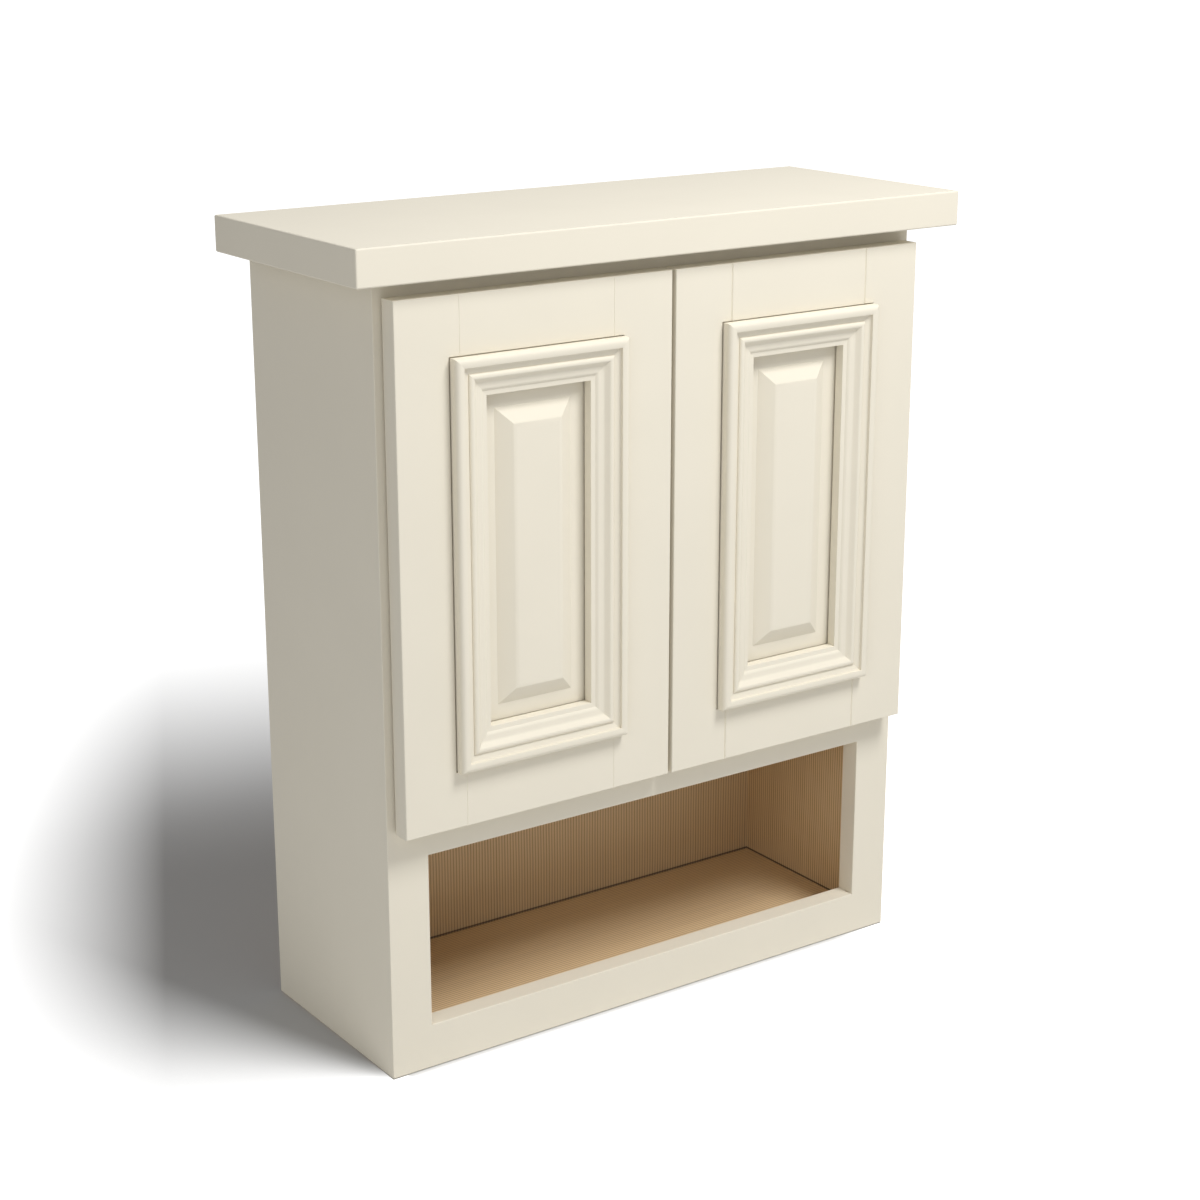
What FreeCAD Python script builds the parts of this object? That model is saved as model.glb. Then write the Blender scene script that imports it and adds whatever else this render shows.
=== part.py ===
import FreeCAD, Part
import math
import os

# Wall-hung bathroom cabinet with a face frame, two overlay doors and an open niche.
# Millimetres. X runs to the right, Y runs back to the wall, Z runs up.
# The back of the case lies on the wall plane y = 0, and the doors face -Y.
# Heights are worked out from the underside of the case and moved at the end, so that
# the finished model's origin is the middle of the four wall screws.

V = FreeCAD.Vector
UP = V(0, 0, 1)
RIGHT = V(1, 0, 0)
BACK = V(0, 1, 0)

# Case and boards
case_width = 533.4
case_height = 659.2
case_depth = 197.5
board = 15.9
back_thickness = 3.0
back_groove_depth = 5.0
hanging_rail_thickness = 9.5
hanging_rail_height = 76.0
edge_ease = 0.8

# Wall screws, one pair in each hanging rail
stud_spacing = 406.4
wall_screw_hole_radius = 2.75

# Face frame
frame_thickness = 18.5
stile_width = 38.1
top_rail_height = 38.1
middle_rail_height = 38.1
bottom_rail_height = 37.9
niche_height = 151.4

# Top slab
slab_thickness = 29.6
slab_side_overhang = 29.8
slab_front_overhang = 30.8
slab_ease = 1.5

# Doors
door_thickness = 18.0
door_to_frame = 1.7
door_top_reveal = 13.2
door_middle_overlay = 11.7
door_meeting_gap = 3.75
door_stile_width = 57.15
door_rail_width = 57.15
door_ease = 1.0
groove_depth = 9.5
tongue_thickness = 5.0
tongue_float = 0.1
panel_float = 1.5
tenon_end_room = 0.5

# Moulding, let into a shallow seat in the door frame; widths run in from its outer foot,
# heights are above the door face, and a bow is a share of its edge's length
moulding_lap = 9.15
moulding_seat = 3.0
moulding_seat_gap = 0.7
moulding_leg_room = 2.6
foot_height = 1.0
foot_inset = 0.7
bead_width = 7.5
bead_height = 9.9
bead_round = 3.8
bead_inner_height = 9.45
bead_bow = 0.04
drop_width = 0.25
drop_height = 7.0
hollow_width = 1.2
hollow_height = 6.3
slope_width = 4.3
slope_height = 5.15
nose_wall = 0.6
nose_rise_width = 2.95
nose_rise_bow = 0.14
nose_height = 7.2
nose_fall_width = 1.9
nose_fall_bow = 0.1
nose_edge_height = 6.4
scoop_width = 2.4
scoop_height = 4.0
cove_width = 1.7
cove_height = 3.05
cove_bow = 0.07
band_width = 3.0
band_height = 2.75
roll_width = 2.4
roll_height = 1.75
roll_bow = 0.07
fall_width = 0.9
lip_width = 3.9
lip_outer_height = 1.0
lip_height = 0.65
lip_round = 0.4

# Raised panel
panel_recess = 9.7
panel_margin = 13.0
panel_bevel_width = 14.2
panel_bevel_rise = 8.3

# Concealed hinges, one upright pin in each cup
hinge_setback = 80.0
cup_radius = 17.5
cup_tab = 3.0
cup_wall = 0.7
cup_floor_room = 0.8
pin_radius = 0.7
pin_depth = 9.0
knuckle_radius = 1.3
knuckle_rim_room = 0.8
knuckle_side_room = 0.3
lug_reach = 1.0
arm_plate = 1.2
arm_to_cup_rim = 4.65
arm_foot_half_height = 17.0
arm_foot_setback = 1.5
wing_thickness = 1.0
wing_width = 14.0
wing_reach = 9.5

# Shelf
shelf_front_setback = 15.5
shelf_side_room = 1.0
shelf_hole_pitch = 32.0
shelf_hole_count = 5
shelf_hole_depth = 10.0
shelf_hole_setback = 37.0
shelf_pin_radius = 2.5
shelf_pin_length = 8.0
shelf_lug_length = 12.0
shelf_lug_width = 10.0
shelf_lug_thickness = 3.0

# Dowels, screws and bumpers
fit_room = 0.05
end_room = 0.5
case_dowel_radius = 4.0
case_dowel_in_side = 10.0
case_dowel_in_board = 20.0
case_dowel_setback = 45.0
frame_dowel_radius = 3.0
frame_dowel_half_length = 15.0
slab_screw_radius = 2.0
slab_screw_head_radius = 4.0
slab_screw_in_slab = 18.0
slab_screw_side_setback = 80.0
slab_screw_edge_setback = 40.0
arm_screw_radius = 1.5
arm_screw_head_radius = 3.0
arm_screw_length = 16.0
arm_screw_offset = 11.0
cup_screw_radius = 1.75
cup_screw_head_radius = 3.0
cup_screw_length = 9.0
cup_screw_from_rim = 5.0
bumper_radius = 4.0
bumper_setback = 15.0
bumper_room = 0.1

# Planes of the case
half_width = case_width / 2
inner_half = half_width - board
frame_front = -case_depth
frame_back = frame_front + frame_thickness
back_rear = -hanging_rail_thickness
back_front = back_rear - back_thickness

# Heights, counted from the underside of the case
niche_top = bottom_rail_height + niche_height
middle_rail_top = niche_top + middle_rail_height
middle_deck_bottom = middle_rail_top - board
top_panel_bottom = case_height - board
upper_screw_height = top_panel_bottom - hanging_rail_height / 2
lower_screw_height = middle_rail_top + hanging_rail_height / 2
origin_height = (upper_screw_height + lower_screw_height) / 2
screw_rows = upper_screw_height - lower_screw_height


# Half the width of a circle, a little way in from its rim
def half_chord(radius, inset):
    return math.sqrt(radius ** 2 - (radius - inset) ** 2)


# Hinge sizes that follow from the cup and its pin
cup_inner_radius = cup_radius - cup_wall
pin_inset = cup_tab + cup_wall + knuckle_rim_room + knuckle_radius
cup_depth = pin_depth + knuckle_radius + cup_floor_room + cup_wall
cup_centre = cup_tab + cup_radius
pin_to_bore = pin_inset - cup_tab - pin_radius
pin_half_length = half_chord(cup_radius, pin_to_bore) - knuckle_side_room
arm_half_height = half_chord(cup_inner_radius, knuckle_rim_room) - knuckle_side_room
hinge_overlay = cup_tab + 2 * cup_radius - cup_wall - arm_plate - arm_to_cup_rim

# The left door's edges and faces; the right door is its mirror image
door_outer = -half_width + stile_width - hinge_overlay
door_inner = -door_meeting_gap / 2
door_bottom = middle_rail_top - door_middle_overlay
door_top = case_height - door_top_reveal
door_back = frame_front - door_to_frame
door_front = door_back - door_thickness
tongue_front = door_front + panel_recess
tongue_back = tongue_front + tongue_thickness
stile_edge = -half_width + stile_width
pin_x = door_outer + pin_inset
pin_y = door_back - pin_depth
hinge_heights = {"upper": door_top - hinge_setback, "lower": door_bottom + hinge_setback}

# Outer and inner rectangles of the moulding
nose_width = nose_rise_width + nose_fall_width
moulding_width = (bead_width + drop_width + hollow_width + slope_width + nose_width + scoop_width
                  + cove_width + band_width + roll_width + fall_width + lip_width)
mould_left = door_outer + door_stile_width - moulding_lap
mould_right = door_inner - door_stile_width + moulding_lap
mould_bottom = door_bottom + door_rail_width - moulding_lap
mould_top = door_top - door_rail_width + moulding_lap

# Shelf position, on the middle hole of each column
compartment_middle = (middle_rail_top + top_panel_bottom) / 2
shelf_bottom = compartment_middle + shelf_lug_thickness


def block(x0, x1, y0, y1, z0, z1):
    return Part.makeBox(x1 - x0, y1 - y0, z1 - z0, V(x0, y0, z0))


def rod(start, direction, radius, length):
    return Part.makeCylinder(radius, length, start, direction)


def mirrored(shape):
    return shape.mirror(V(0, 0, 0), RIGHT)


def eased(shape, radius, keep):
    edges = [edge for edge in shape.Edges if keep(edge.BoundBox)]
    return shape.makeFillet(radius, edges)


def screw(start, direction, radius, length, head_radius, grow=0.0):
    head_length = head_radius - radius
    head = Part.makeCone(head_radius + grow, radius + grow, head_length, start, direction)
    shank = rod(start, direction, radius + grow, length + grow)
    return head.fuse(shank).removeSplitter()


def pan_screw(start, direction, radius, length, head_radius):
    head = rod(start - direction * radius, direction, head_radius, radius)
    return head.fuse(rod(start, direction, radius, length)).removeSplitter()


def flat_polygon(points):
    return Part.Face(Part.makePolygon(points + [points[0]]))


# Dowels between the case's sides and its three boards
def case_dowel_spots():
    board_heights = [board / 2, middle_deck_bottom + board / 2, top_panel_bottom + board / 2]
    rows = [frame_back + case_dowel_setback, back_front - case_dowel_setback]
    return [(y, z) for z in board_heights for y in rows]


def case_dowel(y, z, grow=0.0, room=0.0):
    start = V(-inner_half - case_dowel_in_side - room, y, z)
    length = case_dowel_in_side + case_dowel_in_board + 2 * room
    return rod(start, RIGHT, case_dowel_radius + grow, length)


# Columns of shelf holes in the sides
def shelf_columns():
    return [frame_back + shelf_hole_setback, back_front - shelf_hole_setback]


def side_panel():
    panel = block(-half_width, -inner_half, frame_back, 0, 0, case_height)
    groove_x = -inner_half - back_groove_depth
    tools = [block(groove_x, -inner_half, back_front, back_rear, 0, case_height)]
    tools += [case_dowel(y, z, fit_room, end_room) for y, z in case_dowel_spots()]
    middle = (shelf_hole_count - 1) / 2
    for y in shelf_columns():
        for step in range(shelf_hole_count):
            z = compartment_middle + (step - middle) * shelf_hole_pitch
            start = V(-inner_half - shelf_hole_depth, y, z)
            tools.append(rod(start, RIGHT, shelf_pin_radius + fit_room, shelf_hole_depth))
    return panel.cut(tools)


def cross_board(bottom, tools=()):
    plain = block(-inner_half, inner_half, frame_back, back_front, bottom, bottom + board)
    holes = [case_dowel(y, z, fit_room, end_room) for y, z in case_dowel_spots()]
    holes += [mirrored(hole) for hole in holes]
    return plain.cut(holes + list(tools))


def wall_screw_holes():
    spots = [(x, z) for x in (-stud_spacing / 2, stud_spacing / 2)
             for z in (upper_screw_height, lower_screw_height)]
    return [rod(V(x, back_front, z), BACK, wall_screw_hole_radius, -back_front) for x, z in spots]


def back_panel():
    reach = inner_half + back_groove_depth - end_room
    return block(-reach, reach, back_front, back_rear, 0, case_height).cut(wall_screw_holes())


def hanging_rail(middle):
    half = hanging_rail_height / 2
    rail = block(-inner_half, inner_half, back_rear, 0, middle - half, middle + half)
    return rail.cut(wall_screw_holes())


# Face frame, doweled rail to stile
def frame_rail_spans():
    return {
        "bottom": (0, bottom_rail_height),
        "middle": (niche_top, middle_rail_top),
        "top": (case_height - top_rail_height, case_height),
    }


def frame_dowels(grow=0.0, room=0.0):
    pieces = []
    depth = frame_front + frame_thickness / 2
    half_length = frame_dowel_half_length + room
    for low, high in frame_rail_spans().values():
        quarter = (high - low) / 4
        for z in (low + quarter, high - quarter):
            start = V(stile_edge - half_length, depth, z)
            pieces.append(rod(start, RIGHT, frame_dowel_radius + grow, 2 * half_length))
    return pieces


def frame_stile():
    plain = block(-half_width, stile_edge, frame_front, frame_back, 0, case_height)

    def outer_front(box):
        return box.XMax < -half_width + edge_ease and box.YMax < frame_front + edge_ease

    tools = frame_dowels(fit_room, end_room)
    for height in hinge_heights.values():
        tools += [arm_screw(spot, fit_room) for spot in arm_screw_spots(height)]
    return eased(plain, edge_ease, outer_front).cut(tools)


def frame_rail(low, high):
    plain = block(stile_edge, -stile_edge, frame_front, frame_back, low, high)
    holes = frame_dowels(fit_room, end_room)
    return plain.cut(holes + [mirrored(hole) for hole in holes])


# Top slab and the screws that hold it from below
def slab_screws(grow=0.0):
    length = board + slab_screw_in_slab
    rows = [frame_back + slab_screw_edge_setback, back_front - slab_screw_edge_setback]
    columns = [-half_width + slab_screw_side_setback, half_width - slab_screw_side_setback]
    spots = [V(x, y, top_panel_bottom) for x in columns for y in rows]
    return [screw(spot, UP, slab_screw_radius, length, slab_screw_head_radius, grow) for spot in spots]


def top_slab():
    half = half_width + slab_side_overhang
    front = frame_front - slab_front_overhang
    slab = block(-half, half, front, 0, case_height, case_height + slab_thickness)
    return slab.makeFillet(slab_ease, slab.Edges).cut(slab_screws(fit_room))


# Shelf on four pegs, each with a flat lug under the shelf
def adjustable_shelf():
    half = inner_half - shelf_side_room
    front = frame_back + shelf_front_setback
    rear = back_front - shelf_side_room
    return block(-half, half, front, rear, shelf_bottom, shelf_bottom + board)


def shelf_pins():
    pieces = []
    for y in shelf_columns():
        peg_start = V(-inner_half - shelf_pin_length, y, compartment_middle)
        peg = rod(peg_start, RIGHT, shelf_pin_radius, shelf_pin_length + shelf_lug_length)
        lug = block(-inner_half, -inner_half + shelf_lug_length, y - shelf_lug_width / 2,
                    y + shelf_lug_width / 2, shelf_bottom - shelf_lug_thickness, shelf_bottom)
        pieces.append(peg.fuse(lug).removeSplitter())
    return pieces + [mirrored(piece) for piece in pieces]


# Hinge arm: knuckle, plate inside the cup, and a foot screwed to the stile's edge
def arm_screw_spots(height):
    y = (frame_front + arm_foot_setback + frame_back) / 2
    return [V(stile_edge + arm_plate, y, height + offset) for offset in (-arm_screw_offset, arm_screw_offset)]


def arm_screw(spot, grow=0.0):
    length = arm_screw_length + grow
    return pan_screw(spot, RIGHT * -1, arm_screw_radius + grow, length, arm_screw_head_radius)


def hinge_arm(height):
    low, high = height - arm_half_height, height + arm_half_height
    plate_front = pin_y - knuckle_radius
    leg_end = stile_edge + arm_plate
    foot_front = frame_front + arm_foot_setback
    foot_low, foot_high = height - arm_foot_half_height, height + arm_foot_half_height
    knuckle = rod(V(pin_x, pin_y, low), UP, knuckle_radius, high - low)
    plate = block(pin_x, leg_end, plate_front, plate_front + arm_plate, low, high)
    leg = block(stile_edge, leg_end, plate_front, foot_front, low, high)
    foot = block(stile_edge, leg_end, foot_front, frame_back, foot_low, foot_high)
    holes = [rod(V(pin_x, pin_y, low), UP, pin_radius + fit_room, high - low)]
    holes += [rod(spot - RIGHT * arm_plate, RIGHT, arm_screw_radius + fit_room, arm_plate)
              for spot in arm_screw_spots(height)]
    return knuckle.fuse([plate, leg, foot]).removeSplitter().cut(holes)


def hinge_pin(height):
    return rod(V(pin_x, pin_y, height - pin_half_length), UP, pin_radius, 2 * pin_half_length)


# Hinge cup, let into the door's back, with lugs for the pin and a wing for its screws
def cup_screw(height, side, grow=0.0):
    x = door_outer + cup_centre + wing_reach
    z = height + side * (cup_radius + cup_screw_from_rim)
    start = V(x, door_back + wing_thickness, z)
    return screw(start, BACK * -1, cup_screw_radius, cup_screw_length, cup_screw_head_radius, grow)


def cup_bore(height, grow=0.0):
    centre = V(door_outer + cup_centre, door_back - cup_depth - grow, height)
    return rod(centre, BACK, cup_radius + grow, cup_depth + grow)


def hinge_cup(height):
    centre_x = door_outer + cup_centre
    hollow_depth = cup_depth - cup_wall
    hollow_start = V(centre_x, door_back - hollow_depth, height)
    hollow = rod(hollow_start, BACK, cup_inner_radius, hollow_depth + wing_thickness)
    lug_start = arm_half_height + knuckle_side_room
    lug_end_x = pin_x + pin_radius + lug_reach
    for low, high in ((-cup_radius, -lug_start), (lug_start, cup_radius)):
        lug = block(door_outer, lug_end_x, door_back - cup_depth, door_back, height + low, height + high)
        hollow = hollow.cut(lug)
    wing_x = centre_x + wing_reach
    wing_half = cup_radius + 2 * cup_screw_from_rim
    wing = block(wing_x - wing_width / 2, wing_x + wing_width / 2, door_back, door_back + wing_thickness,
                 height - wing_half, height + wing_half)
    cup = cup_bore(height).fuse(wing).removeSplitter()
    tools = [hollow, hinge_pin(height)]
    tools += [cup_screw(height, side, fit_room) for side in (-1, 1)]
    return cup.cut(tools)


# Door frame, grooved all round for the panel, with a shallow seat for the moulding
def door_groove(x0, x1, z0, z1):
    return block(x0, x1, tongue_front, tongue_back + tongue_float, z0, z1)


def moulding_seat_cut():
    gap = moulding_seat_gap
    return block(mould_left - gap, mould_right + gap, door_front, door_front + moulding_seat,
                 mould_bottom - gap, mould_top + gap)


def door_hinge_stile():
    inner = door_outer + door_stile_width
    plain = block(door_outer, inner, door_front, door_back, door_bottom, door_top)

    def outside(box):
        return box.XMax < inner - door_ease and box.YMax - box.YMin < door_ease

    tools = [door_groove(inner - groove_depth, inner, door_bottom, door_top), moulding_seat_cut()]
    for height in hinge_heights.values():
        tools.append(cup_bore(height, fit_room))
        tools += [cup_screw(height, side, fit_room) for side in (-1, 1)]
    return eased(plain, door_ease, outside).cut(tools)


def door_meeting_stile():
    outer = door_inner - door_stile_width
    plain = block(outer, door_inner, door_front, door_back, door_bottom, door_top)

    def outside(box):
        return box.XMin > outer + door_ease and box.YMax - box.YMin < door_ease

    groove = door_groove(outer, outer + groove_depth, door_bottom, door_top)
    return eased(plain, door_ease, outside).cut([groove, moulding_seat_cut()])


def door_rail(low, high, groove_low, groove_high, outer_height):
    left = door_outer + door_stile_width
    right = door_inner - door_stile_width
    tenon = groove_depth - tenon_end_room
    plain = block(left, right, door_front, door_back, low, high)

    def outside(box):
        level = abs(box.ZMin - outer_height) < door_ease and abs(box.ZMax - outer_height) < door_ease
        return level and box.XMax - box.XMin > door_ease

    tongue = block(left - tenon, right + tenon, tongue_front, tongue_back, low + door_ease, high - door_ease)
    rail = eased(plain, door_ease, outside).fuse(tongue).removeSplitter()
    groove = door_groove(left - tenon, right + tenon, groove_low, groove_high)
    return rail.cut([groove, moulding_seat_cut()])


def door_bottom_rail():
    high = door_bottom + door_rail_width
    return door_rail(door_bottom, high, high - groove_depth, high, door_bottom)


def door_top_rail():
    low = door_top - door_rail_width
    return door_rail(low, door_top, low, low + groove_depth, door_top)


# Raised panel: a tongue in the groove and a bevelled field in front
def panel_rectangle(inset, y):
    left = mould_left + moulding_width + inset
    right = mould_right - moulding_width - inset
    low = mould_bottom + moulding_width + inset
    high = mould_top - moulding_width - inset
    corners = [V(left, y, low), V(right, y, low), V(right, y, high), V(left, y, high)]
    return Part.makePolygon(corners + [corners[0]])


def door_panel():
    into_groove = groove_depth - panel_float
    left = door_outer + door_stile_width - into_groove
    right = door_inner - door_stile_width + into_groove
    low = door_bottom + door_rail_width - into_groove
    high = door_top - door_rail_width + into_groove
    tongue = block(left, right, tongue_front, tongue_back, low, high)
    foot = panel_rectangle(panel_margin, tongue_front)
    crown = panel_rectangle(panel_margin + panel_bevel_width, tongue_front - panel_bevel_rise)
    field = Part.makeLoft([foot, crown], True, True)
    return tongue.fuse(field).removeSplitter()


# Corners of the moulding's section, each with the bow of the edge that leads to it
def moulding_corners():
    quarter_bow = (math.sqrt(2) - 1) / 2
    runs = [
        (bead_round, bead_height, quarter_bow),
        (bead_width - bead_round, bead_inner_height, bead_bow),
        (drop_width, drop_height, 0),
        (hollow_width, hollow_height, 0),
        (slope_width, slope_height, 0),
        (0, slope_height + nose_wall, 0),
        (nose_rise_width, nose_height, nose_rise_bow),
        (nose_fall_width, nose_edge_height, nose_fall_bow),
        (scoop_width, scoop_height, 0),
        (cove_width, cove_height, -cove_bow),
        (band_width, band_height, 0),
        (roll_width, roll_height, roll_bow),
        (fall_width, lip_outer_height, 0),
        (lip_width - lip_round, lip_height, 0),
        (lip_round, lip_height - lip_round, quarter_bow),
    ]
    corners = [(foot_inset, -moulding_seat, 0), (foot_inset, foot_height - foot_inset, 0)]
    corners += [(0, foot_height, 0), (0, bead_height - bead_round, 0)]
    reach = 0
    for width, height, bow in runs:
        reach += width
        corners.append((reach, height, bow))
    leg_foot = moulding_leg_room - panel_recess
    corners += [(moulding_width, leg_foot, 0), (moulding_lap, leg_foot, 0)]
    return corners + [(moulding_lap, -moulding_seat, 0)]


def moulding_section(place):
    corners = moulding_corners()
    edges = []
    for (s0, h0, _), (s1, h1, bow) in zip(corners, corners[1:] + corners[:1]):
        start, end = place(s0, h0), place(s1, h1)
        if bow:
            middle = place((s0 + s1) / 2 - (h1 - h0) * bow, (h0 + h1) / 2 + (s1 - s0) * bow)
            edges.append(Part.Arc(start, middle, end).toShape())
        else:
            edges.append(Part.LineSegment(start, end).toShape())
    return Part.Face(Part.Wire(edges))


# Four sticks of moulding, mitred at the corners
def moulding_sticks():
    reach = moulding_width + bead_height
    front = door_front - 2 * bead_height
    sweep_x = mould_right - mould_left
    sweep_z = mould_top - mould_bottom
    places = {
        "top": lambda s, h: V(mould_left, door_front - h, mould_top - s),
        "bottom": lambda s, h: V(mould_left, door_front - h, mould_bottom + s),
        "hinge_side": lambda s, h: V(mould_left + s, door_front - h, mould_bottom),
        "meeting_side": lambda s, h: V(mould_right - s, door_front - h, mould_bottom),
    }
    corners = {
        "top": [(mould_left, mould_top, 0, 0), (mould_right, mould_top, 0, 0),
                (mould_right, mould_top, -1, -1), (mould_left, mould_top, 1, -1)],
        "bottom": [(mould_left, mould_bottom, 0, 0), (mould_right, mould_bottom, 0, 0),
                   (mould_right, mould_bottom, -1, 1), (mould_left, mould_bottom, 1, 1)],
        "hinge_side": [(mould_left, mould_bottom, 0, 0), (mould_left, mould_top, 0, 0),
                       (mould_left, mould_top, 1, -1), (mould_left, mould_bottom, 1, 1)],
        "meeting_side": [(mould_right, mould_bottom, 0, 0), (mould_right, mould_top, 0, 0),
                         (mould_right, mould_top, -1, -1), (mould_right, mould_bottom, -1, 1)],
    }
    sticks = {}
    for side, place in places.items():
        sweep = RIGHT * sweep_x if side in ("top", "bottom") else UP * sweep_z
        bar = moulding_section(place).extrude(sweep)
        outline = [V(x + dx * reach, front, z + dz * reach) for x, z, dx, dz in corners[side]]
        wedge = flat_polygon(outline).extrude(BACK * (door_back - front))
        sticks[side] = bar.common(wedge)
    return sticks


# Soft bumpers between the door's back and the frame's rails
def door_bumpers():
    low = door_bottom + door_middle_overlay / 2
    high = door_top - (top_rail_height - door_top_reveal) / 2
    x = door_inner - bumper_setback
    return [rod(V(x, door_back, z), BACK, bumper_radius, door_to_frame - bumper_room) for z in (low, high)]


def save(node, *solids):
    shape = solids[0] if len(solids) == 1 else Part.makeCompound(list(solids))
    shape = shape.copy()
    shape.translate(V(0, 0, -origin_height))
    shape.exportStep("parts/" + node + ".step")


def save_pair(name, *solids):
    save("left_" + name, *solids)
    save("right_" + name, *[mirrored(solid) for solid in solids])


def save_case():
    save("side_panel_left", side_panel())
    save("side_panel_right", mirrored(side_panel()))
    save("top_panel", cross_board(top_panel_bottom, slab_screws(fit_room)))
    save("middle_deck", cross_board(middle_deck_bottom))
    save("bottom_deck", cross_board(0))
    save("back_panel", back_panel())
    save("hanging_rail_upper", hanging_rail(upper_screw_height))
    save("hanging_rail_lower", hanging_rail(lower_screw_height))
    dowels = [case_dowel(y, z) for y, z in case_dowel_spots()]
    save("case_dowels", *dowels, *[mirrored(dowel) for dowel in dowels])
    save("top_slab", top_slab())
    save("slab_screws", *slab_screws())
    save("adjustable_shelf", adjustable_shelf())
    save("shelf_pins", *shelf_pins())


def save_frame():
    save("frame_stile_left", frame_stile())
    save("frame_stile_right", mirrored(frame_stile()))
    for name, (low, high) in frame_rail_spans().items():
        save("frame_" + name + "_rail", frame_rail(low, high))
    dowels = frame_dowels()
    save("frame_dowels", *dowels, *[mirrored(dowel) for dowel in dowels])


def save_hinges():
    arm_screws = []
    for level, height in hinge_heights.items():
        save_pair("hinge_arm_" + level, hinge_arm(height))
        save_pair("hinge_cup_" + level, hinge_cup(height))
        arm_screws += [arm_screw(spot) for spot in arm_screw_spots(height)]
    save("hinge_arm_screws", *arm_screws, *[mirrored(piece) for piece in arm_screws])
    save_pair("hinge_pins", *[hinge_pin(height) for height in hinge_heights.values()])
    save_pair("hinge_cup_screws", *[cup_screw(height, side) for height in hinge_heights.values()
                                    for side in (-1, 1)])


def save_doors():
    save_pair("door_hinge_stile", door_hinge_stile())
    save_pair("door_meeting_stile", door_meeting_stile())
    save_pair("door_top_rail", door_top_rail())
    save_pair("door_bottom_rail", door_bottom_rail())
    save_pair("door_panel", door_panel())
    for side, stick in moulding_sticks().items():
        save_pair("door_moulding_" + side, stick)
    save_pair("door_bumpers", *door_bumpers())


os.makedirs("parts", exist_ok=True)
save_case()
save_frame()
save_hinges()
save_doors()
print("wall screws", stud_spacing, "by", screw_rows, "mm; pin at", pin_x, pin_y, "mm")
slab_top = case_height + slab_thickness - origin_height
print("case underside at", -origin_height, "mm; slab top at", slab_top, "mm")
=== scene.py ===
import bmesh
import bpy
import math
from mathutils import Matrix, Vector


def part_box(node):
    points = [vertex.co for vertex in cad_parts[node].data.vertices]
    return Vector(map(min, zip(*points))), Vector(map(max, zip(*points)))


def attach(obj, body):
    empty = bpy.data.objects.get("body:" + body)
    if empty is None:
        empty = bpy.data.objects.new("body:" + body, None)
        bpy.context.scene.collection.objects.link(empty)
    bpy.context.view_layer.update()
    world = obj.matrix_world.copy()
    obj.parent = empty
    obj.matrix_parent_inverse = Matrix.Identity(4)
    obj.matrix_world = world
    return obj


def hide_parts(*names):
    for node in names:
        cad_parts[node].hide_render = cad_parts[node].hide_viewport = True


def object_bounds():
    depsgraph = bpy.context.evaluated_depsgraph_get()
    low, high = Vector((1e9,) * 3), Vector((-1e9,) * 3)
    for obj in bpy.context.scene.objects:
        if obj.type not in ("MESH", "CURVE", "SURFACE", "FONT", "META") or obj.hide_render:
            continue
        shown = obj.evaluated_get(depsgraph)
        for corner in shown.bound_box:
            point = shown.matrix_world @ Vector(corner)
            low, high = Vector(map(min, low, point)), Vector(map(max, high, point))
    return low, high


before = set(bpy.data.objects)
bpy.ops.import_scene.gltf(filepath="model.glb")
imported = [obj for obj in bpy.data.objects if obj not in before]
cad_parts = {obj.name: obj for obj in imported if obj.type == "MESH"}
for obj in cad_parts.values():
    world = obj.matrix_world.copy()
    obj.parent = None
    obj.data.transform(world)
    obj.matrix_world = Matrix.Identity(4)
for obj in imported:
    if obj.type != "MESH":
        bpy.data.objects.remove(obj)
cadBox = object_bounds()
mm = 0.001
quarterTurn = 90  # degrees
print("frame loaded,", len(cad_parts), "nodes")


# selecting and shaping
sideOf = {  # each side of a board: its axis, and 0 for the low end or 1 for the high end
    "left": (0, 0), "right": (0, 1),
    "front": (1, 0), "back": (1, 1),
    "bottom": (2, 0), "top": (2, 1),
}
allEdges = [(a, b) for a in sideOf for b in sideOf if sideOf[a][0] < sideOf[b][0]]
touching = 0.001 * mm  # an edge this near to a side lies on it
roundProfile = 0.5  # the bevel's shape for a true round


def startClean():
    if bpy.context.object and bpy.context.object.mode != "OBJECT":
        bpy.ops.object.mode_set(mode="OBJECT")
    bpy.ops.object.select_all(action="DESELECT")


def takeUp(piece):  # the one selected and active object
    startClean()
    piece.select_set(True)
    bpy.context.view_layer.objects.active = piece


def openMesh(piece, mode="EDGE"):  # edit mode with nothing selected
    takeUp(piece)
    bpy.ops.object.mode_set(mode="EDIT")
    bpy.ops.mesh.select_mode(type=mode)
    bpy.ops.mesh.select_all(action="DESELECT")
    return bmesh.from_edit_mesh(piece.data)


def closeMesh(piece):
    bmesh.update_edit_mesh(piece.data)
    bpy.ops.object.mode_set(mode="OBJECT")


def nameIt(name):
    piece = bpy.context.object
    piece.name = name
    piece.data.name = name
    bpy.ops.object.transform_apply(location=True, rotation=True, scale=True)
    return piece


def addBlock(name, low, high):
    startClean()
    low, high = Vector(low), Vector(high)
    bpy.ops.mesh.primitive_cube_add(size=1, location=(low + high) / 2, scale=high - low)
    return nameIt(name)


def addRod(name, centre, radius, length, sides):  # lies along Y
    startClean()
    turn = (math.radians(quarterTurn), 0, 0)
    bpy.ops.mesh.primitive_cylinder_add(
        vertices=sides, radius=radius, depth=length, location=centre, rotation=turn)
    return nameIt(name)


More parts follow.
